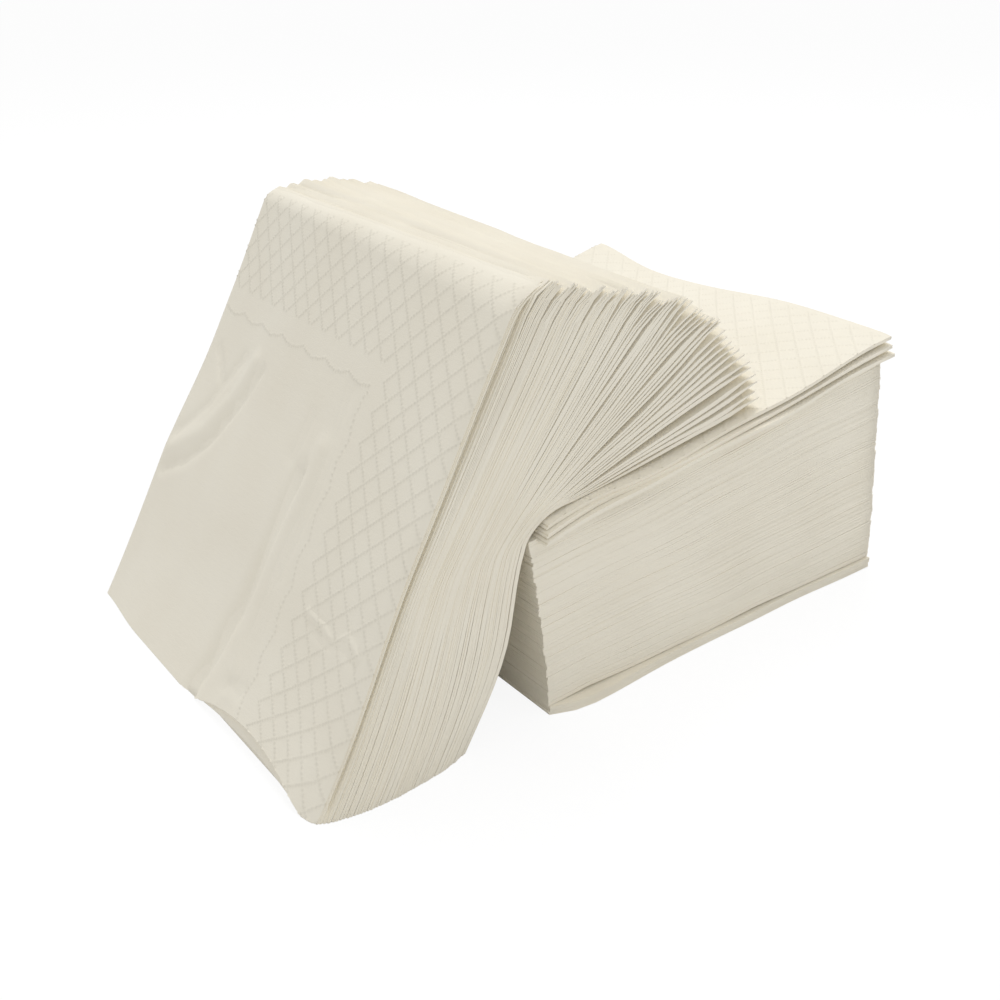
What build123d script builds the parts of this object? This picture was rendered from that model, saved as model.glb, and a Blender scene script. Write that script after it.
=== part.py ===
from build123d import *
from math import cos, radians, sin, tan
import os

# A stack of quarter folded paper napkins. One block lies flat. A second block leans on it: its napkins
# stand on their folded feet, bend over the upper left edge of the flat block and fan out at their tips.
# X runs along the stack from the leaning block to the flat one, Y goes away from the near side, Z is up.
# The origin is the middle of the base.

# One napkin
side = 125.0                    # edge of the napkin once it is folded twice
leaf = 0.18                     # thickness of one two-ply leaf, of which a folded napkin has four
leaves_per_napkin = 4
crease_depth = 0.22             # how far the pressed first fold stands out past its two leaves
crease_slope_share = 0.30       # part of a pair's thickness taken by each slope of its first fold
second_fold = 1.2               # depth of the second fold, along the far side
second_fold_inset = 0.2         # how far each face of the napkin draws in at the crest of that fold

# Flat block
flat_count = 45                 # napkins that lie straight, pressed at the left and loose at the right
flat_slack = 0.097              # air from leaf to leaf at the left end
flat_fan = 8.0                  # degrees between the lowest leaf and the highest
top_count = 3                   # napkins on top that arch up beside the edge
top_slack = 0.092               # air from leaf to leaf there
top_gap = 0.05                  # between the straight napkins and the arched ones at the left end
top_setback = 3.2               # from the left end of the straight napkins to that of the arched ones
top_start_angle = 15.0          # degrees
arch_length = 20.0
arch_turn = 9.0
dip_length = 30.0
dip_turn = 2.5

# Leaning block
leaning_count = 26
leaning_slack = 0.149           # air from leaf to leaf at the feet, square to the leaves
front_lean_angle = 60.75        # degrees from the floor, at the foot of the front leaf
rear_lean_angle = 59.4          # the same for the rear leaf
lean_ease_share = 3.6           # how late the lean gives way from the front leaf to the rear one
foot_length = 11.5              # straight from the floor to the waist
waist_length = 25.0
waist_turn = 16.8               # degrees by which the rear leaf straightens up in the waist
edge_gap = 5.6                  # from the left end of the arched napkins to the bend of the rear leaf
edge_below = 6.2                # from the same left end down to that bend
edge_bend = 4.4                 # length of the bend over the edge of the flat block
edge_turn = 27.5
settle_length = 10.3            # where the leaves come down on the flat block
settle_ease_share = 6.0
top_slope = top_start_angle - arch_turn + dip_turn
settle_turn = rear_lean_angle + waist_turn - edge_turn - top_slope
least_turn = 0.08               # degrees; a leg that turns less is straight

# Names and groups of the flat block
single_count = 10               # napkins at the bottom that are nodes of their own
pair_count = 14                 # pairs of napkins that follow, two to a node


def joined(legs):
    """Legs with those that hardly turn made straight, and straight ones in a row made one"""
    kept = []
    for length, turn in legs:
        if abs(turn) > least_turn:
            kept.append((length, turn))
        elif kept and kept[-1][1] == 0:
            kept[-1] = (kept[-1][0] + length, 0)
        else:
            kept.append((length, 0))
    return kept


def bent(start, heading, legs, offset=0.0):
    """Edges of a run of straight and bent legs, and its two ends, set off to the left by an offset"""
    edges = []
    x, z = start
    angle = radians(heading)
    here = Vector(x - offset * sin(angle), 0, z + offset * cos(angle))
    first = here
    for length, turn in legs:
        quarter = radians(turn) / 4
        half_chord = length / 2 * (sin(quarter) / quarter if turn else 1)
        for _ in range(2):
            x += half_chord * cos(angle + quarter)
            z += half_chord * sin(angle + quarter)
            angle += 2 * quarter
            there = Vector(x - offset * sin(angle), 0, z + offset * cos(angle))
            edges.append(there)
        middle, there = edges[-2:]
        edges[-2:] = [ThreePointArc(here, middle, there) if turn else Line(here, there)]
        here = there
    return edges, first, here


def outline(upper, lower, inset=0.0):
    """Closed section around two leaves and what lies between them, drawn in by an inset"""
    top, top_foot, top_tip = bent(*upper, offset=leaf / 2 - inset)
    base, base_foot, base_tip = bent(*lower, offset=inset - leaf / 2)
    back = Vector(cos(radians(upper[1])), 0, sin(radians(upper[1]))) * crease_depth
    slope = (base_foot - top_foot) * crease_slope_share
    fold = Polyline(top_foot, top_foot + slope - back, base_foot - slope - back, base_foot)
    return Face(Wire(top + base + fold.edges() + [Line(top_tip, base_tip)]))


def napkin(leaves):
    """One napkin from the runs of its four leaves, the upper or front one first"""
    depth = side - second_fold
    pairs = [extrude(outline(*leaves[k:k + 2]), depth, dir=(0, 1, 0)) for k in (0, 2)]
    whole = outline(leaves[0], leaves[-1])
    pressed = outline(leaves[0], leaves[-1], second_fold_inset)
    fold = loft([Pos(0, depth, 0) * whole, Pos(0, side, 0) * pressed], ruled=True)
    return pairs[0].fuse(pairs[1], fold).clean().solid()


def napkins_of(leaves):
    """Napkins from a list of leaves, the upper or front leaf of each napkin first"""
    return [napkin(leaves[k:k + leaves_per_napkin]) for k in range(0, len(leaves), leaves_per_napkin)]


def flat_block():
    """Leaves that lie flat, fanned by a small equal angle, highest first, and the place of the next one"""
    total = flat_count * leaves_per_napkin
    pitch = leaf + flat_slack
    x, z = 0.0, leaf / 2
    leaves = []
    for number in range(total):
        slope = flat_fan * number / (total - 1)
        leaves.append(((x, z), slope, [(side, 0)]))
        x -= pitch * sin(radians(slope))
        z += pitch * cos(radians(slope))
    return leaves[::-1], (x, z)


def arched_leaf(start, rise):
    """Run of one leaf of the arched napkins, a given rise above the lowest one"""
    angle = radians(top_start_angle)
    x = start[0] + top_setback * cos(radians(flat_fan)) - rise * sin(angle)
    z = start[1] + top_setback * sin(radians(flat_fan)) + rise * cos(angle)
    bend_up = arch_length + rise * radians(arch_turn)
    bend_back = dip_length - rise * radians(dip_turn)
    legs = [(bend_up, -arch_turn), (bend_back, dip_turn), (side - bend_up - bend_back, 0)]
    return (x, z), top_start_angle, legs


def arched_block(start):
    """Leaves of the loose napkins on top, which arch up beside the left edge, highest first"""
    total = top_count * leaves_per_napkin
    return [arched_leaf(start, top_gap + number * (leaf + top_slack)) for number in range(total)][::-1]


def leaning_leaf(foot, rise_length, place_share):
    """Run of one leaf of the leaning block, from front (0) to rear (1)"""
    lean = front_lean_angle + (rear_lean_angle - front_lean_angle) * place_share ** lean_ease_share
    legs = [
        (foot_length, 0),
        (waist_length, waist_turn * place_share),
        (rise_length, 0),
        (edge_bend, -edge_turn * place_share),
        (settle_length, -settle_turn * place_share ** settle_ease_share),
    ]
    legs.append((side - sum(length for length, _ in legs), 0))
    drop = crease_depth * sin(radians(lean)) + leaf * cos(radians(lean))
    return (foot, drop), lean, joined(legs)


def leaning_block(corner):
    """Leaves of the leaning block, front first, set so that the rear one clears the flat block's corner"""
    total = leaning_count * leaves_per_napkin
    pitch = leaf + leaning_slack
    start, lean, _ = leaning_leaf(0.0, 0.0, 1.0)
    _, _, waist = bent(start, lean, [(foot_length, 0), (waist_length, waist_turn)])
    climb = corner[1] - edge_below - waist.Z
    rise_length = climb / sin(radians(lean + waist_turn))
    foot = corner[0] - edge_gap - waist.X - climb / tan(radians(lean + waist_turn))
    leaves = []
    for number in reversed(range(total)):
        leaves.append(leaning_leaf(foot, rise_length, number / (total - 1)))
        foot -= pitch / sin(radians(leaves[-1][1]))
    return leaves[::-1]


def named_nodes():
    """Every node of the stack by name, as a list of solids"""
    straight, start = flat_block()
    arched = arched_block(start)
    leaning = leaning_block(arched[0][0])
    nodes = {f"leaning_napkin_{number:02d}": [solid] for number, solid in enumerate(napkins_of(leaning), 1)}
    flat = napkins_of(arched + straight)[::-1]
    number = 1
    while number <= len(flat):
        paired = single_count < number <= single_count + 2 * pair_count
        if paired:
            nodes[f"flat_napkins_{number:02d}_{number + 1:02d}"] = flat[number - 1:number + 1]
        else:
            nodes[f"flat_napkin_{number:02d}"] = [flat[number - 1]]
        number += 2 if paired else 1
    return nodes


os.makedirs("parts", exist_ok=True)
stack = named_nodes()
box = Compound([solid for solids in stack.values() for solid in solids]).bounding_box()
middle = Pos(-(box.min.X + box.max.X) / 2, -(box.min.Y + box.max.Y) / 2, -box.min.Z)
for name, solids in stack.items():
    placed = [middle * solid for solid in solids]
    export_step(placed[0] if len(placed) == 1 else Compound(placed), f"parts/{name}.step")
print(len(stack), "nodes", box.size)
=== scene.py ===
import math

import bpy
import numpy as np
from mathutils import Matrix, Vector

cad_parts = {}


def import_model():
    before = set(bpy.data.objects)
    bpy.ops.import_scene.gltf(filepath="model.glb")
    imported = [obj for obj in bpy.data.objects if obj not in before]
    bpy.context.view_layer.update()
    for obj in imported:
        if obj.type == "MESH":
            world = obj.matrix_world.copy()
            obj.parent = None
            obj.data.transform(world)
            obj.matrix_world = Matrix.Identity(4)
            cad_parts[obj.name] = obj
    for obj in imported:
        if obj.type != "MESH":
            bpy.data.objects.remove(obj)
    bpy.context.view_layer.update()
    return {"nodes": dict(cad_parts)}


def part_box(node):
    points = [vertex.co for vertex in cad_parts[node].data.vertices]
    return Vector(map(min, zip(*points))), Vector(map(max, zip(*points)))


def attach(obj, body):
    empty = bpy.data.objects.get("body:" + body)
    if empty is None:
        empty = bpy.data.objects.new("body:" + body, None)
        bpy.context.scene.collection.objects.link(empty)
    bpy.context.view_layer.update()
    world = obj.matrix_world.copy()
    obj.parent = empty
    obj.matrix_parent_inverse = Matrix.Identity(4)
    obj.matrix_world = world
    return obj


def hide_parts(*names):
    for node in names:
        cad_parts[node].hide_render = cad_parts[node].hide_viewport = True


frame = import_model()

# Lengths are in millimetres until a mesh is made, apart from those of the lamps and the floor
MM = 0.001
rng = np.random.default_rng(31)

# One napkin: a square sheet folded twice, so that it has four leaves
side = 125.0
leaf = 0.18                     # thickness of one pressed two-ply leaf
flat_leaf = 0.266               # the same with its air, in the flat block
leaning_leaf = 0.295            # and in the looser leaning block
leaves_per_napkin = 4
outermost = 2 * leaves_per_napkin   # leaves of a block's first two napkins, which have forms of their own
first_fold = 0.22               # how far the first fold stands out past the leaves
second_fold = 0.5               # the same for the outer layer of the second fold
inner_fold = 0.17               # and for the inner layer
fold_angles = np.radians([-50.0, 0.0, 50.0])    # where a fold has points round its bend

# Flat block
flat_count = 45
flat_leaves = flat_count * leaves_per_napkin
flat_pitch = leaf + 0.097
flat_fan = 8.0                  # degrees
top_count = 3
top_leaves = top_count * leaves_per_napkin
top_pitch = leaf + 0.092
top_gap = 0.05
top_setback = 3.2
top_start = 15.0                # degrees
arch_length = 20.0
arch_turn = 9.0
dip_length = 30.0
dip_turn = 2.5

# Leaning block
leaning_count = 26
leaning_leaves = leaning_count * leaves_per_napkin
leaning_pitch = leaf + 0.149
front_lean = 60.75              # degrees from the floor
rear_lean = 59.4
lean_ease = 3.6
foot_length = 11.5
waist_length = 25.0
waist_turn = 16.8
rise_length = 14.136
edge_bend = 4.4
edge_turn = 27.5
settle_length = 10.3
settle_turn = rear_lean + waist_turn - edge_turn - (top_start - arch_turn + dip_turn)
settle_ease = 6.0
rear_setback = 25.33            # from the left end of the flat block to the foot of the rear leaf

# The near left corner of the flat block on the floor, and the foot of the rear leaning leaf
flat_low, flat_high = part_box("flat_napkin_01")
corner_x = flat_high[0] / MM - side
near_y = flat_low[1] / MM
rear_foot = corner_x - rear_setback

# Meshes: steps along a leaf and columns across it, finer on the two napkins whose face is in view
flat_step = 6.5
leaning_step = 5.0
top_napkin_step = 3.0
front_napkin_step = 2.5
turn_step = 4.0                 # degrees, in the bends
flat_columns = 15
leaning_columns = 19
top_napkin_columns = 40
front_napkin_columns = 44
crowding = 0.6                  # how much closer the columns lie near both sides

# Embossing on the outer leaf, along the two cut edges of the sheet
emboss_step = 0.375             # grid of the embossed parts of that leaf
plain_step = 0.75               # and of the rest
emboss_margin = 2.0             # by which the fine grid reaches past the scallops
dot_height = 0.28
ply_gap = 0.03                  # between the outer ply and the sheet below it
lattice_cell = 10               # dots from one crossing of two dotted lines to the next
lattice_start = 1.5             # where the diamonds begin below the tips
lattice_top = 29.8              # how far the diamonds reach from the tips
lattice_near = 34.2             # and from the near edge
scallop_top = 35.2
scallop_near = 38.6
scallop_length = 12.4
scallop_depth = 1.4

# Curled cut edges of the leaning leaves: the margin that curls, and how far it bends back
tip_margin = 11.0
tip_back = 4.3
near_margin = 2.8
near_back = 0.8
least_back = 0.05
tip_tightening = 1.1            # how much tighter the tips roll on the far side

# The front napkin's lifted foot
arch_height = 5.6
inner_arch_height = 1.9         # of its two inner leaves
arch_from = 5                   # from the near corner
arch_span = 54

# Other forms of the leaning leaves, by their greatest height
front_puff = 1.9                # the front leaves stand off near the cut edges
far_sink = 2.2                  # and sink in along the far side
front_slant = 3.0               # and draw back from the near side towards their tips
foot_flare = 2.9                # and their feet spread forward on the floor
rear_belly = 1.5                # the rear leaves swell forward around their bend
second_reach = 1.2              # near corner of the second napkin's tips, upward
second_rise = 1.3               # and forward
second_groove = 1.3             # the second napkin's near edge lies back

# Forms of the flat leaves, by their greatest height
slow_wave = 0.38                # of the straight napkins
short_wave = 0.16
lowest_out = 3.4                # the lowest napkins stand out at the near side
wavy_gap = 0.75                 # above them
loose_out = 3.4                 # the loose napkins stand out there too
loose_out_drop = 0.75           # but less, from each of them to the next
loose_wave = 1.1                # along their right ends
loose_curl = 3.8                # at their far right corner

# Looks: two tones of the ivory tissue, the white floor, and the light
paper_dark = (0.915, 0.862, 0.735, 1)
paper_light = (0.94, 0.892, 0.77, 1)
floor_tone = (0.90, 0.90, 0.90, 1)
floor_size = 40.0               # metres
floor_glow = 1.05
floor_glow_share = 0.85         # part of the floor, as the camera sees it, that glows
soft_light = 0.62               # from the surroundings, which the camera sees at full white
lamp_aim = (0.0, 0.0, 0.05)     # metres

# Camera, worked out from the photograph: a point in units of the side from the near left corner
camera_place = (-1.1792, -1.4400, 1.3605)
camera_yaw = 36.50
camera_pitch = 25.68
camera_roll = -0.62
camera_lens = 41.476
sensor = 36.0


def run_points(run, s):
    """Points and left-hand normals along a run of straight and bent legs, at distances s from its start"""
    (x, z), heading, legs = run
    angle = math.radians(heading)
    s = np.asarray(s, float)
    points = np.zeros((len(s), 2))
    normals = np.zeros((len(s), 2))
    done = 0.0
    for number, (length, turn) in enumerate(legs):
        last = number == len(legs) - 1
        here = (s >= done if number else np.ones(len(s), bool)) & ((s < done + length) | last)
        u = s[here] - done
        bend = math.radians(turn) / length
        at = angle + bend * u
        if turn:
            points[here] = np.stack([x + (np.sin(at) - math.sin(angle)) / bend,
                                     z - (np.cos(at) - math.cos(angle)) / bend], 1)
            x += (math.sin(angle + bend * length) - math.sin(angle)) / bend
            z -= (math.cos(angle + bend * length) - math.cos(angle)) / bend
        else:
            points[here] = np.stack([x + u * math.cos(angle), z + u * math.sin(angle)], 1)
            x += length * math.cos(angle)
            z += length * math.sin(angle)
        normals[here] = np.stack([-np.sin(at), np.cos(at)], 1)
        angle += math.radians(turn)
        done += length
    return points, normals


def leaning_runs():
    """Runs of the leaves of the leaning block, front first"""
    runs = []
    foot = rear_foot
    for number in reversed(range(leaning_leaves)):
        share = number / (leaning_leaves - 1)
        lean = front_lean + (rear_lean - front_lean) * share ** lean_ease
        legs = [(foot_length, 0), (waist_length, waist_turn * share), (rise_length, 0),
                (edge_bend, -edge_turn * share), (settle_length, -settle_turn * share ** settle_ease)]
        legs.append((side - sum(length for length, _ in legs), 0))
        drop = first_fold * math.sin(math.radians(lean)) + leaf * math.cos(math.radians(lean))
        runs.append(((foot, drop), lean, legs))
        foot -= leaning_pitch / math.sin(math.radians(lean))
    return runs[::-1]


def flat_runs():
    """Runs of the straight leaves of the flat block, lowest first, and the place of the next one"""
    x, z = corner_x, leaf / 2
    runs = []
    for number in range(flat_leaves):
        slope = flat_fan * number / (flat_leaves - 1)
        runs.append(((x, z), slope, [(side, 0)]))
        x -= flat_pitch * math.sin(math.radians(slope))
        z += flat_pitch * math.cos(math.radians(slope))
    return runs, (x, z)


def arched_runs(start):
    """Runs of the leaves of the loose napkins on top of the flat block, lowest first"""
    fan = math.radians(flat_fan)
    angle = math.radians(top_start)
    runs = []
    for number in range(top_leaves):
        rise = top_gap + number * top_pitch
        x = start[0] + top_setback * math.cos(fan) - rise * math.sin(angle)
        z = start[1] + top_setback * math.sin(fan) + rise * math.cos(angle)
        up = arch_length + rise * math.radians(arch_turn)
        back = dip_length - rise * math.radians(dip_turn)
        runs.append(((x, z), top_start, [(up, -arch_turn), (back, dip_turn), (side - up - back, 0)]))
    return runs


def ripples(count, size, strength=1.0):
    """A smooth seeded field of two coordinates, made of a few crossing waves of about a given length"""
    angle = rng.uniform(0, 2 * math.pi, count)
    length = size * rng.uniform(0.7, 1.6, count)
    phase = rng.uniform(0, 2 * math.pi, count)
    kx, ky = np.cos(angle) * 2 * math.pi / length, np.sin(angle) * 2 * math.pi / length

    def field(a, b):
        total = 0.0
        for k in range(count):
            total = total + np.sin(kx[k] * a + ky[k] * b + phase[k])
        return strength * total / math.sqrt(count)

    return field


def hump(x):
    """A smooth hump: 1 at zero, 0 beyond one"""
    return np.where(np.abs(x) < 1, np.cos(x * math.pi / 2) ** 2, 0.0)


def ramp(x):
    """Rises smoothly from 0 at zero to 1 at one"""
    x = np.clip(x, 0, 1)
    return x * x * (3 - 2 * x)


def tipward(s, reach):
    """Rises from 0 at a given reach from the tips to 1 at the tips"""
    return ramp((s - side + reach) / reach)


def nearward(y, reach):
    """Rises from 0 at a given reach from the near edge to 1 at that edge"""
    return ramp((reach - y) / reach)


def ridge(s, y, path, width, height):
    """A soft ridge along a path of points (y, s) that are shares of the side from the near foot corner"""
    best = np.full(np.broadcast(s, y).shape, np.inf)
    for (y0, s0), (y1, s1) in zip(path[:-1], path[1:]):
        dy, ds = (y1 - y0) * side, (s1 - s0) * side
        t = np.clip(((y - y0 * side) * dy + (s - s0 * side) * ds) / (dy * dy + ds * ds), 0, 1)
        best = np.minimum(best, np.hypot(y - y0 * side - t * dy, s - s0 * side - t * ds))
    return height * np.exp(-(best / width) ** 2)


# Soft ridges, dents and crinkles of the front face: path, half width and height in millimetres
front_forms = [
    ([(0.725, 0.625), (0.755, 0.545), (0.81, 0.44), (0.88, 0.37), (0.97, 0.32)], 1.7, -0.75),
    ([(0.76, 0.64), (0.80, 0.54), (0.86, 0.45), (0.97, 0.37)], 2.6, 0.65),
    ([(0.82, 0.63), (0.89, 0.50), (0.97, 0.41)], 1.8, -0.4),
    ([(0.95, 0.62), (0.87, 0.56)], 1.5, -0.35),
    ([(0.425, 0.50), (0.438, 0.36), (0.450, 0.20), (0.50, -0.02)], 2.5, -1.25),
    ([(0.415, 0.48), (0.425, 0.455)], 0.8, -0.3),
    ([(0.385, 0.56), (0.40, 0.36), (0.40, 0.16), (0.37, 0.05)], 3.4, 0.65),
    ([(0.365, 0.68), (0.355, 0.50), (0.365, 0.30)], 2.6, -0.3),
    ([(0.46, 0.60), (0.475, 0.52)], 2.2, -0.25),
    ([(0.23, 0.287), (0.165, 0.284), (0.125, 0.272), (0.09, 0.305), (0.045, 0.29)], 0.9, 0.32),
    ([(0.215, 0.268), (0.15, 0.262), (0.10, 0.283), (0.05, 0.27)], 1.1, -0.35),
    ([(0.385, 0.05), (0.34, 0.06)], 2.6, -0.6),
]
front_fade = 7.0                # leaves over which these forms die away behind the face
front_forms_end = 40            # the first leaf that has none of them

# How far the leaning napkins' tips depart from the run, near and far, and their feet to the near side,
# at places from the front leaf (0) to the rear one (1)
place_shares = (0.0, 0.10, 0.22, 0.36, 0.50, 0.64, 0.74, 0.82, 0.90, 0.96, 1.0)
tip_near = (0.0, 0.0, -1.3, -2.5, -2.7, -2.6, -1.7, -0.2, 1.8, 4.2, 3.4)
tip_far = (1.9, 2.8, 3.4, 3.7, 3.7, 3.8, 4.0, 4.0, 3.7, 3.2, 2.6)
foot_near = (0.6, 2.4, 3.4, 3.9, 3.8, 3.3, 2.9, 2.4, 1.6, 0.7, 0.2)


def curl(u, margin, back):
    """How far a sheet bends back and draws in, at a distance u from its cut edge, where a margin of it curls"""
    low, high = 0.0, 2.0
    for _ in range(24):
        angle = (low + high) / 2
        if margin * (1 - math.cos(angle)) / angle < back:
            low = angle
        else:
            high = angle
    into = np.clip(margin - u, 0, None)
    turned = np.minimum(into, margin) / margin * angle
    radius = margin / angle
    return radius * (1 - np.cos(turned)), into - radius * np.sin(turned)


def air_between(runs, thickness):
    """Free space between neighbouring leaves at every millimetre along them, as a mean for each napkin"""
    s = np.arange(0, side + 1)
    points = [run_points(run, s) for run in runs]
    gaps = [np.abs(np.sum((after[0] - here[0]) * here[1], 1)) - thickness
            for here, after in zip(points[:-1], points[1:])]
    gaps = np.clip(np.array(gaps + gaps[-1:]), 0.0, None)
    groups = gaps.reshape(-1, leaves_per_napkin, len(s))
    return np.repeat(groups.mean(1), leaves_per_napkin, axis=0)


def air_at(air, s):
    """Free space at distances s, from its values at every millimetre"""
    return np.interp(s, np.arange(len(air)), air)


class Napkin:
    """What the four leaves of one napkin have in common"""

    def __init__(self, end_slip, edge_slip):
        self.end_slip = rng.normal(0, end_slip)
        self.edge_slip = rng.normal(0, edge_slip)
        self.edge = ripples(3, 40.0, 0.035)
        self.wave = ripples(3, 55.0)
        self.cling = ripples(2, 70.0, 0.12)
        self.middle_gap = rng.uniform(0.25, 1.1)
        self.corner = rng.normal(0.5, 0.8)
        self.roll = rng.normal(0, 0.55)

    def clung(self, index, air, s, y):
        """Shift that makes the leaves of each pair cling, and the pairs too, so that the napkins part"""
        pair_gap = 0.12
        inner = self.middle_gap / 2
        target = (-(inner + pair_gap), -inner, inner, inner + pair_gap)[index]
        share = np.clip(0.9 - 0.65 * ramp(air / 0.30) + self.cling(s, y), 0, 1)
        return (target - (index - 1.5)) * air * share


class Leaf:
    """What the leaves of both blocks have in common. A block gives the length of the waves in its leaves,
    the height of those along the tips and along the near edge, and how far that edge and the tips slip."""

    def __init__(self, run, number, napkin, air, wave_size, tip_height, edge_height, edge_slip, tip_slip):
        self.run = run
        self.number = number
        self.napkin = napkin
        self.air = air
        self.flutter = ripples(3, wave_size)
        self.tip = ripples(4, 30.0, tip_height)
        self.edge = ripples(4, 30.0, edge_height)
        self.edge_slip = rng.normal(0, edge_slip)
        self.tip_slip = rng.normal(0, tip_slip)

    def strayed(self, s):
        """How far the near edge lies inside its place"""
        return self.edge(s, 0 * s) + self.napkin.edge(s, 0 * s) + self.edge_slip + self.napkin.edge_slip

    def beside_run(self, reach, bulge):
        """Places x and z on a grid of distances along the run, set off from it by a bulge"""
        points, normals = run_points(self.run, reach.ravel())
        points = points.reshape(*reach.shape, 2)
        normals = normals.reshape(*reach.shape, 2)
        return points[..., 0] + normals[..., 0] * bulge, points[..., 1] + normals[..., 1] * bulge


class LeaningLeaf(Leaf):
    """Shape of one leaf of the leaning block: how its surface and its edges depart from its run"""

    def __init__(self, run, number, napkin, air):
        share = number / (leaning_leaves - 1)
        super().__init__(run, number, napkin, air, wave_size=38.0, tip_height=0.10, edge_height=0.02,
                         edge_slip=0.05, tip_slip=0.14 + 0.30 * share ** 2)
        self.corner = (napkin.corner + rng.normal(0, 0.25)) * share ** 1.5
        self.near, self.far, self.foot = (np.interp(share, place_shares, line)
                                          for line in (tip_near, tip_far, foot_near))

    def at(self, s, y):
        """Points of the leaf on a grid of distances s from the foot and y from the near side"""
        width = y / side
        air = air_at(self.air, s)
        stretch = self.near + (self.far - self.near) * width
        stretch = stretch + self.napkin.end_slip + self.tip_slip + self.tip(y, 0 * y)
        reach = s * (1 + stretch / side) + self.lift(s, y)
        tight = 1 + tip_tightening * width
        back, draw = (part / tight for part in curl((side - s) * tight, *self.tip_curl))
        if self.number >= outermost:
            rolled = self.napkin.roll * tipward(s, 9) * (0.6 + self.napkin.wave(s, y) / 2)
            back = back * (0.55 + 0.45 * ramp(y / 35)) - rolled
        edge_back, edge_draw = curl(y, *self.edge_curl)
        bulge = self.puff(s, y) + self.forms(s, y) - back - edge_back
        bulge = bulge - self.napkin.clung(self.number % leaves_per_napkin, air, s, y)
        bulge = bulge + np.minimum(0.8 * air, 0.3) * self.napkin.wave(s, y) + 0.16 * air * self.flutter(s, y)
        bulge = bulge + self.belly(s)
        bulge = bulge + self.corner * tipward(s, 18) * nearward(y, 12)
        x, z = self.beside_run(reach - draw, bulge)
        return np.stack([x - self.flare(s, y), self.across(s, y) + edge_draw, np.maximum(z, leaf / 2)], -1)

    @property
    def tip_curl(self):
        """Margin at the tips that curls, and how far it bends back, which dies away towards the rear"""
        return tip_margin, least_back + tip_back * min(1.0, max(0.0, (leaning_leaves - 2 - self.number) / 40))

    @property
    def edge_curl(self):
        """The same along the near edge, where only the front leaves curl"""
        return near_margin, least_back + near_back * math.exp(-self.number / 3)

    def puff(self, s, y):
        """The front leaves stand off near the cut edges and sink in along the far side"""
        out = front_puff * math.exp(-self.number / 8) * ramp((s - 12) / 50) * np.exp(-y / 70)
        sunk = far_sink * math.exp(-self.number / 26) * ramp((s - 40) / 40)
        sunk = sunk * (1 - 0.3 * tipward(s, 30)) * (y / side) ** 2
        return out - sunk

    def belly(self, s):
        """The rear leaves swell forward around their bend over the edge of the flat block"""
        return rear_belly * hump((s - 46) / 24) * math.exp((self.number - leaning_leaves + 1) / 34)

    def forms(self, s, y):
        """Ridges and dents of the front face, and the near corner of the second napkin's tips, which stands
        forward"""
        total = 0.0 * s * y
        if self.number < front_forms_end:
            fade = math.exp(-self.number / front_fade)
            for path, width, height in front_forms:
                total = total + ridge(s, y, path, width, height) * (fade if height > 0 else fade ** 0.5)
        if leaves_per_napkin <= self.number < outermost:
            total = total + second_rise * tipward(s, 13) * nearward(y, 14)
        return total

    def lift(self, s, y):
        """The front napkin's folded foot arches up off the floor beside its near corner, and the tips of the
        second napkin reach up a little at their near corner"""
        if self.number >= leaves_per_napkin:
            corner = second_reach if self.number < outermost else 0.0
            return corner * tipward(s, 30) * nearward(y, 13)
        height = arch_height if self.number < leaves_per_napkin // 2 else inner_arch_height
        arch = np.sin(math.pi * np.clip((y - arch_from) / arch_span, 0, 1)) ** 0.75
        return height * arch * np.exp(-s / 20)

    def flare(self, s, y):
        """The front feet spread forward on the floor, apart from the near corner"""
        along = (0.4 + 0.6 * ramp(y / 10)) * (1 - 0.55 * ramp((y - 98) / 27))
        return foot_flare * math.exp(-self.number / 9) * along * np.exp(-s / 24)

    def across(self, s, y):
        """Where the leaf lies from near to far: its foot stands out towards the near side, and the second
        napkin lies back a little, so that a dark groove shows beside the front one"""
        foot = self.foot * np.exp(-(s / 34) ** 2) * (1 - 0.75 * y / side)
        back = front_slant * math.exp(-self.number / 16) * s / side
        groove = second_groove * hump((self.number - 4.5) / 2.5) * ramp(s / 5)
        return near_y + y + (self.strayed(s) + back + groove) * (1 - y / side) - foot


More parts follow.
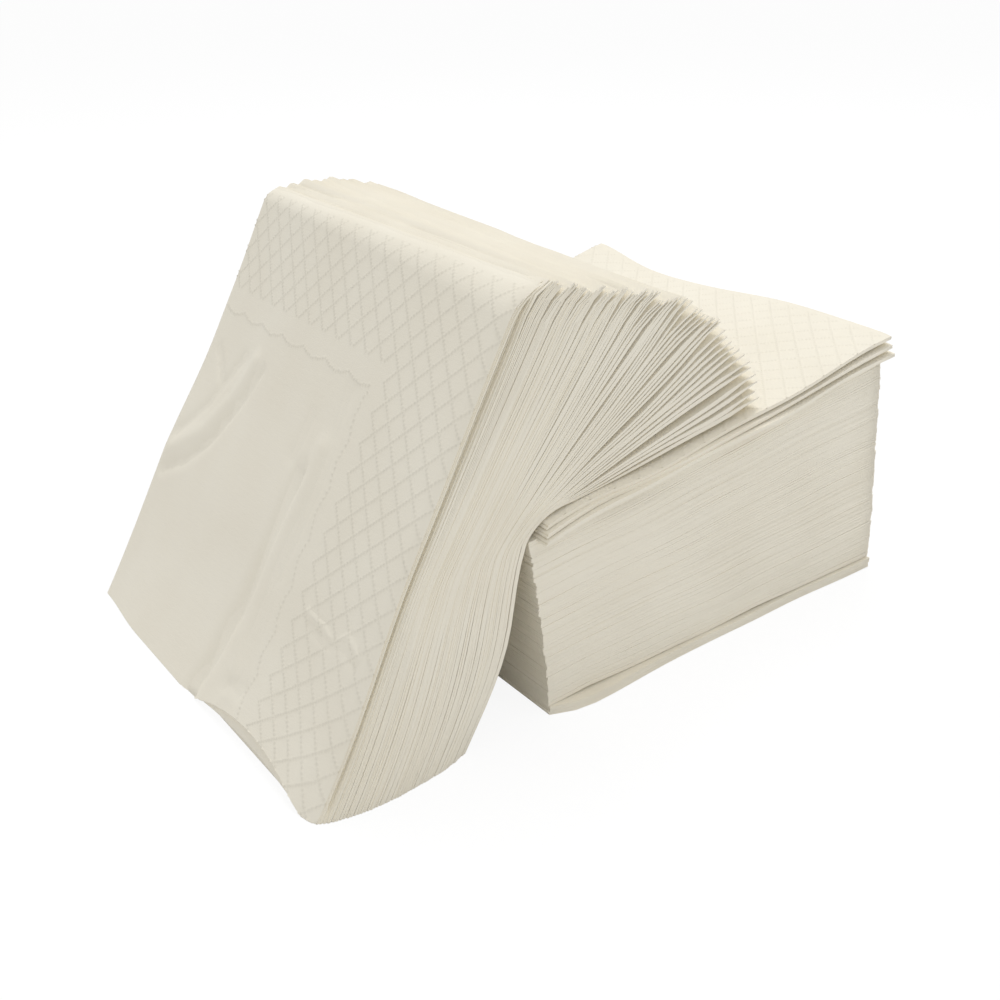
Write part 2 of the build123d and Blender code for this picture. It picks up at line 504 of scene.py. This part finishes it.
class FlatLeaf(Leaf):
    """Shape of one leaf of the flat block: of the straight napkins, or of the loose ones on top"""

    def __init__(self, run, number, napkin, air):
        super().__init__(run, number, napkin, air, wave_size=50.0, tip_height=0.07, edge_height=0.018,
                         edge_slip=0.018, tip_slip=0.06)
        self.level = number / (flat_leaves - 1)                     # 0 to 1 in the straight napkins
        self.loose = number >= flat_leaves
        self.order = number // leaves_per_napkin - flat_count       # 0, 1, 2 in the loose ones
        self.above = (number - flat_leaves) / (top_leaves - 1)      # 0 to 1 in the loose ones

    def at(self, s, y):
        """Points of the leaf on a grid of distances s from the left end and y from the near side"""
        slipped = self.tip_slip + self.tip(y, 0 * y) + self.napkin.end_slip
        index = leaves_per_napkin - 1 - self.number % leaves_per_napkin
        bulge = self.slow_waves(s, y) - self.napkin.clung(index, self.air[0], s, y)
        bulge = bulge + 0.2 * self.air[0] * self.flutter(s, y) + self.parted(s, y)
        if self.loose:
            start = -3.6 + 2.9 * self.above
            end = -3.2 + 5.0 * y / side
            bulge = bulge + self.waved(s, y)
        else:
            start = -2.6 * self.level
            end = -1.9 - 1.9 * self.level
        reach = s * (1 + (end - start) / side) + start + 0.8 * slipped
        x, z = self.beside_run(reach, bulge)
        out = (self.strayed(s) - self.stands_out(s)) * (1 - y / side)
        return np.stack([x, near_y + y + out, np.maximum(z, leaf / 2)], -1)

    def slow_waves(self, s, y):
        """Slow waves of the straight napkins, the same from leaf to leaf but for a little"""
        level = self.number / flat_leaves
        ends = 0.0 if self.loose else ramp(level / 0.15) * ramp((1.0 - level) / 0.12)
        slow = slow_wave * np.sin(s / 15.5 + 3.0 * level + y / 60)
        return ends * ramp((s + 4) / 30) * (slow + short_wave * np.sin(s / 6.4 + 7.0 * level))

    def stands_out(self, s):
        """How far the near edge stands out: the lowest napkins and the loose ones by a lot"""
        if self.number < outermost:
            out = (lowest_out - 0.08 * self.number) * ramp((s + 4) / 14) * (1 - 0.70 * ramp((s - 8) / 60))
            return out + 0.25 * np.sin(s / 8.3)
        if self.loose:
            out = (loose_out - loose_out_drop * self.order) * (1 - 0.6 * ramp((s - 70) / 50))
            return out + 0.3 * np.sin(s / 9 + 2 * self.order)
        return 0.16 * np.sin(s / 17 + 5 * self.level) + 0.12 * np.sin(9 * self.level)

    def parted(self, s, y):
        """The wavy gap above the lowest napkins along the near side"""
        above = self.number - outermost
        wave = 0.5 + 0.32 * np.sin(s / 10.5 + 0.6) + 0.18 * np.sin(s / 5.3)
        if above < 0:
            return -0.35 * leaf * (wave < 0) * np.exp(-y / 12)
        return wavy_gap * wave * np.exp(-y / 16) * math.exp(-above / 40) * ramp(s / 14)

    def waved(self, s, y):
        """The loose napkins wave along their right ends, fan apart there towards the near side, and curl up
        at their far right corner. Their near edges wave too and droop a little."""
        wave = loose_wave * np.sin((y - 8) / 105 * 2 * math.pi) * np.exp(-((y - 45) / 60) ** 2)
        curl_up = loose_curl * ramp((y - 92) / 33) ** 1.5 * tipward(s, 33)
        waves = (0.6 + 0.4 * self.above) * (wave * tipward(s, 63) + curl_up + 0.2 * np.sin(s / 19 + y / 31))
        fanned = ramp((s - 50) / 70) * (self.order / 2 * (2.9 - 3.0 * np.minimum(y / 90, 1)) - 0.7)
        edge_gap = (0.2 + 0.3 * self.order) * np.exp(-y / 9) * (0.6 + 0.4 * np.sin(s / 13 + self.order))
        edge_wave = 0.30 * np.sin(s / 8.5 + 1.2) * np.exp(-y / 10) * ramp((s - 8) / 20)
        droop = (0.3 + 0.3 * self.above) * np.exp(-y / 2.8)
        return waves + fanned + edge_gap + edge_wave - droop


def spread(count):
    """Shares from 0 to 1, closer together near both ends"""
    even = np.linspace(0, 1, count)
    return (1 - crowding) * even + crowding * (1 - np.cos(even * math.pi)) / 2


def distances(run, step):
    """Distances along a run: at most a step apart, and a few degrees apart in its bends"""
    found = [0.0]
    for length, turn in run[2]:
        pieces = max(1, math.ceil(length / step), math.ceil(abs(turn) / turn_step))
        found += [found[-1] + length * k / pieces for k in range(1, pieces + 1)]
    return np.array(found) * side / found[-1]


def middle_surface(shapes, s, y):
    """Middle of a folded sheet on one grid. Rows go from the outer layer's tip round the first fold to the
    inner layer's tip, and columns from the near edge of the first pair of leaves round the second fold to
    that of the second pair."""
    row_s = np.concatenate([s[::-1], -first_fold * np.cos(fold_angles), s])
    row_share = np.concatenate([0 * s, (1 + np.sin(fold_angles)) / 2, 0 * s + 1])
    y_fold = side - second_fold
    column_y = np.concatenate([y * y_fold, 0 * fold_angles + y_fold, y[::-1] * y_fold])
    column_out = np.concatenate([0 * y, np.cos(fold_angles), 0 * y])
    column_share = np.concatenate([0 * y, (1 + np.sin(fold_angles)) / 2, 0 * y + 1])
    inner = row_share[:, None]
    lower = column_share[None, :]
    out = column_out[None, :] * (second_fold * (1 - inner) + inner_fold * inner)
    grid_s = row_s[:, None] + 0 * column_y[None, :]
    grid_y = column_y[None, :] + out
    weights = [(1 - inner) * (1 - lower), inner * (1 - lower), inner * lower, (1 - inner) * lower]
    return sum(w[..., None] * shape.at(grid_s, grid_y) for w, shape in zip(weights, shapes))


def surface_normals(grid):
    """Unit normals of a grid of points"""
    across = np.gradient(grid, axis=1)
    along = np.gradient(grid, axis=0)
    normal = np.cross(along, across)
    return normal / np.maximum(np.linalg.norm(normal, axis=-1, keepdims=True), 1e-9)


def quads(rows, columns, first=0, flip=False):
    """Faces of a grid of points whose numbers start at first"""
    i, j = np.meshgrid(np.arange(rows - 1), np.arange(columns - 1), indexing="ij")
    a = (i * columns + j).ravel() + first
    faces = np.stack([a, a + 1, a + columns + 1, a + columns], 1)
    return faces[:, ::-1] if flip else faces


def rim(rows, columns):
    """Numbers of the points round the border of a grid"""
    numbers = np.arange(rows * columns).reshape(rows, columns)
    return np.concatenate([numbers[0, :-1], numbers[:-1, -1], numbers[-1, :0:-1], numbers[:0:-1, 0]])


def sheet_mesh(grid, thickness):
    """Points, faces and sharp edges of a closed sheet of paper about a middle surface, from its thickness
    along the rows"""
    rows, columns, _ = grid.shape
    normal = surface_normals(grid) * thickness[:, None, None]
    one_side = (grid + normal / 2).reshape(-1, 3)
    other_side = (grid - normal / 2).reshape(-1, 3)
    count = rows * columns
    border = rim(rows, columns)
    after = np.roll(border, -1)
    faces = np.concatenate([
        quads(rows, columns, 0, flip=True),
        quads(rows, columns, count),
        np.stack([border, after, after + count, border + count], 1),
    ])
    sharp = np.concatenate([np.stack([border, after], 1), np.stack([border + count, after + count], 1)])
    return np.concatenate([one_side, other_side]), faces, sharp


def scalloped(start, along):
    """Distance of the scalloped line from its own edge, at places along that edge"""
    return start + scallop_depth * np.abs(np.sin(math.pi * along / scallop_length))


def dots(i, j):
    """Pin embossing of the outer leaf on its fine grid, counted from the tips and from the near edge:
    1 on a dot and 0 beside it"""
    top, near = i * emboss_step, j * emboss_step
    even = (i % 2 == 0) & (j % 2 == 0)
    crossed = ((i + j) // 2 % lattice_cell == 0) | ((i - j) // 2 % lattice_cell == 0)
    found = even & crossed & (top > lattice_start) & ((top < lattice_top) | (near < lattice_near))
    row = np.round(scalloped(scallop_top, near) / emboss_step)
    found |= (i == row) & (j % 3 == 0) & (near > scallop_near)
    column = np.round(scalloped(scallop_near, top) / emboss_step)
    found |= (j == column) & (i % 4 == 0) & (top > scallop_top)
    return found.astype(float)


def even_steps(length):
    """Number of steps of the fine grid that cover a length, made even"""
    return int(math.ceil(length / emboss_step / 2)) * 2


def embossed_leaf(shape, thickness):
    """Points and faces of a napkin's outer ply on its first leaf, fine enough for its embossing and creases"""
    total = even_steps(side)
    top, near = even_steps(scallop_top + emboss_margin), even_steps(scallop_near + emboss_margin)
    coarse = int(round(plain_step / emboss_step))
    parts = [
        (np.arange(0, top + 1), np.arange(0, total + 1)),
        (np.arange(top, total + 1), np.arange(0, near + 1)),
        (np.arange(top, total + 1, coarse), np.arange(near, total + 1, coarse)),
    ]
    points, faces, count = [], [], 0
    for rows, columns in parts:
        i, j = np.meshgrid(rows, columns, indexing="ij")
        s = np.clip(side - i * emboss_step, 0, side)
        y = np.minimum(j * emboss_step, side - second_fold)
        grid = shape.at(s, y)
        height = thickness / 2 + ply_gap + dot_height * dots(i, j)
        grid = grid - surface_normals(grid) * height[..., None]
        points.append(grid.reshape(-1, 3))
        faces.append(quads(len(rows), len(columns), count))
        count += len(rows) * len(columns)
    return np.concatenate(points), np.concatenate(faces)


def piece(name, points, faces, sharp, node, material):
    """A mesh object in the shared frame that replaces a node"""
    mesh = bpy.data.meshes.new(name)
    mesh.from_pydata((points * MM).tolist(), [], faces.tolist())
    mesh.polygons.foreach_set("use_smooth", np.ones(len(mesh.polygons), bool))
    ends = np.zeros(2 * len(mesh.edges), int)
    mesh.edges.foreach_get("vertices", ends)
    ends = np.sort(ends.reshape(-1, 2), axis=1)
    total = len(points)
    keys = np.sort(sharp, axis=1)
    is_sharp = np.isin(ends[:, 0] * total + ends[:, 1], keys[:, 0] * total + keys[:, 1])
    mesh.edges.foreach_set("use_edge_sharp", is_sharp)
    mesh.materials.append(material)
    mesh.update()
    obj = bpy.data.objects.new(name, mesh)
    bpy.context.collection.objects.link(obj)
    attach(obj, "root")
    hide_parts(node)
    return obj


def noise(nodes, scale, detail):
    """A noise texture node"""
    texture = nodes.new("ShaderNodeTexNoise")
    texture.inputs["Scale"].default_value = scale
    texture.inputs["Detail"].default_value = detail
    return texture


def paper_material():
    """Ivory tissue: matt, a little cloudy, with fibres and fine crepe"""
    material = bpy.data.materials.new("napkin_paper")
    material.use_nodes = True
    nodes = material.node_tree.nodes
    links = material.node_tree.links
    shader = nodes["Principled BSDF"]
    shader.inputs["Roughness"].default_value = 0.92
    shader.inputs["Specular IOR Level"].default_value = 0.18
    shader.inputs["Sheen Weight"].default_value = 0.08
    shader.inputs["Sheen Roughness"].default_value = 0.6
    place = nodes.new("ShaderNodeTexCoord")
    cloud = noise(nodes, 45.0, 5.0)
    tint = nodes.new("ShaderNodeValToRGB")
    for stop, position, colour in zip(tint.color_ramp.elements, (0.3, 0.7), (paper_dark, paper_light)):
        stop.position = position
        stop.color = colour
    fibres = noise(nodes, 2600.0, 3.0)
    crepe = noise(nodes, 700.0, 4.0)
    stretch = nodes.new("ShaderNodeMapping")
    stretch.inputs["Scale"].default_value = (1.0, 0.25, 1.0)
    mix = nodes.new("ShaderNodeMath")
    mix.operation = "ADD"
    bump = nodes.new("ShaderNodeBump")
    bump.inputs["Strength"].default_value = 0.35
    bump.inputs["Distance"].default_value = 0.00013
    links.new(place.outputs["Object"], cloud.inputs["Vector"])
    links.new(place.outputs["Object"], fibres.inputs["Vector"])
    links.new(place.outputs["Object"], stretch.inputs["Vector"])
    links.new(stretch.outputs["Vector"], crepe.inputs["Vector"])
    links.new(cloud.outputs["Fac"], tint.inputs["Fac"])
    links.new(tint.outputs["Color"], shader.inputs["Base Color"])
    links.new(fibres.outputs["Fac"], mix.inputs[0])
    links.new(crepe.outputs["Fac"], mix.inputs[1])
    links.new(mix.outputs["Value"], bump.inputs["Height"])
    links.new(bump.outputs["Normal"], shader.inputs["Normal"])
    return material


def napkin(node, shapes, thickness, material, s, y, embossed, rests_on):
    """One folded napkin, whose leaves take up half of the air around them except at their cut tips, and the
    outer ply of its first leaf as a fine piece where that is in view"""
    label = f"{len(sheets) + 1:02d}"
    thick = thickness + 0.5 * air_at(shapes[0].air, s) * ramp((side - s) / 12)
    thick = np.concatenate([thick[::-1], 0 * fold_angles + thickness, thick])
    points, faces, sharp = sheet_mesh(middle_surface(shapes, s, y), thick)
    sheet = piece("napkin_" + label, points, faces, sharp, node, material)
    sheets.append(sheet)
    if embossed:
        points, faces = embossed_leaf(shapes[0], thickness)
        ply = piece("outer_ply_" + label, points, faces, np.zeros((0, 2), int), node, material)


def flat_block(material):
    """All napkins of the flat block, lowest first"""
    straight, start = flat_runs()
    runs = straight + arched_runs(start)
    air = air_between(runs, flat_leaf)
    names = sorted(name for name in frame["nodes"] if name.startswith("flat"))
    for number in range(flat_count + top_count):
        common = Napkin(end_slip=0.22, edge_slip=0.04)
        first = number * leaves_per_napkin
        shapes = [FlatLeaf(runs[k], k, common, air[k]) for k in range(first, first + leaves_per_napkin)][::-1]
        top = number == flat_count + top_count - 1
        s = distances(shapes[0].run, top_napkin_step if top else flat_step)
        y = spread(top_napkin_columns if top else flat_columns)
        node = next(name for name in names if f"{number + 1:02d}" in name.split("_")[2:])
        napkin(node, shapes, flat_leaf, material, s, y, top, sheets[-1:] or ["floor"])


def leaning_block(material):
    """All napkins of the leaning block, from the rear one, which lies on the flat block, to the front"""
    runs = leaning_runs()
    air = air_between(runs, leaning_leaf)
    for number in reversed(range(leaning_count)):
        common = Napkin(end_slip=0.50, edge_slip=0.045)
        first = number * leaves_per_napkin
        shapes = [LeaningLeaf(runs[k], k, common, air[k]) for k in range(first, first + leaves_per_napkin)]
        front = number == 0
        s = distances(shapes[0].run, front_napkin_step if front else leaning_step)
        y = spread(front_napkin_columns if front else leaning_columns)
        napkin(f"leaning_napkin_{number + 1:02d}", shapes, leaning_leaf, material, s, y, front, sheets[-1:])


def floor():
    """A white floor that keeps a soft shadow of the stack"""
    bpy.ops.mesh.primitive_plane_add(size=floor_size)
    plane = bpy.context.object
    plane.name = "floor"
    material = bpy.data.materials.new("floor")
    material.use_nodes = True
    nodes = material.node_tree.nodes
    links = material.node_tree.links
    shader = nodes["Principled BSDF"]
    shader.inputs["Base Color"].default_value = floor_tone
    shader.inputs["Roughness"].default_value = 1.0
    shader.inputs["Specular IOR Level"].default_value = 0.0
    glow = nodes.new("ShaderNodeEmission")
    glow.inputs["Strength"].default_value = floor_glow
    path = nodes.new("ShaderNodeLightPath")
    part = nodes.new("ShaderNodeMath")
    part.operation = "MULTIPLY"
    part.inputs[1].default_value = floor_glow_share
    mix = nodes.new("ShaderNodeMixShader")
    links.new(path.outputs["Is Camera Ray"], part.inputs[0])
    links.new(part.outputs["Value"], mix.inputs["Fac"])
    links.new(shader.outputs["BSDF"], mix.inputs[1])
    links.new(glow.outputs["Emission"], mix.inputs[2])
    links.new(mix.outputs["Shader"], nodes["Material Output"].inputs["Surface"])
    plane.data.materials.append(material)


def world():
    """Soft white surroundings"""
    surroundings = bpy.data.worlds.new("studio")
    surroundings.use_nodes = True
    nodes = surroundings.node_tree.nodes
    links = surroundings.node_tree.links
    path = nodes.new("ShaderNodeLightPath")
    level = nodes.new("ShaderNodeMapRange")
    level.inputs["To Min"].default_value = soft_light
    level.inputs["To Max"].default_value = 1.0
    nodes["Background"].inputs["Color"].default_value = (1, 1, 1, 1)
    links.new(path.outputs["Is Camera Ray"], level.inputs["Value"])
    links.new(level.outputs["Result"], nodes["Background"].inputs["Strength"])
    bpy.context.scene.world = surroundings


def lamp(name, place, size, power):
    """A square soft lamp that aims at the stack, in metres and watts"""
    data = bpy.data.lights.new(name, "AREA")
    data.size = size
    data.energy = power
    obj = bpy.data.objects.new(name, data)
    bpy.context.collection.objects.link(obj)
    obj.location = place
    obj.rotation_euler = (Vector(lamp_aim) - Vector(place)).to_track_quat("-Z", "Y").to_euler()


def camera():
    """The camera at the photograph's viewing point"""
    yaw, pitch, roll = (math.radians(a) for a in (camera_yaw, camera_pitch, camera_roll))
    forward = Vector((math.sin(yaw) * math.cos(pitch), math.cos(yaw) * math.cos(pitch), -math.sin(pitch)))
    level = Vector((math.cos(yaw), -math.sin(yaw), 0))
    up = level.cross(forward)
    right = level * math.cos(roll) + up * math.sin(roll)
    above = up * math.cos(roll) - level * math.sin(roll)
    data = bpy.data.cameras.new("camera")
    data.sensor_width = sensor
    data.lens = camera_lens
    data.clip_start = 0.01
    obj = bpy.data.objects.new("camera", data)
    bpy.context.collection.objects.link(obj)
    place = Vector(camera_place) * side + Vector((corner_x, near_y, 0))
    turned = Matrix((right, above, -forward)).transposed()
    obj.matrix_world = Matrix.Translation(place * MM) @ turned.to_4x4()
    bpy.context.scene.camera = obj


paper = paper_material()
sheets = []
floor()
flat_block(paper)
leaning_block(paper)
world()
lamp("key", place=(0.32, 0.34, 1.18), size=0.6, power=5.6)
lamp("fill", place=(0.26, -0.50, 0.80), size=0.5, power=0.8)
camera()
bpy.context.scene.view_settings.view_transform = "Standard"
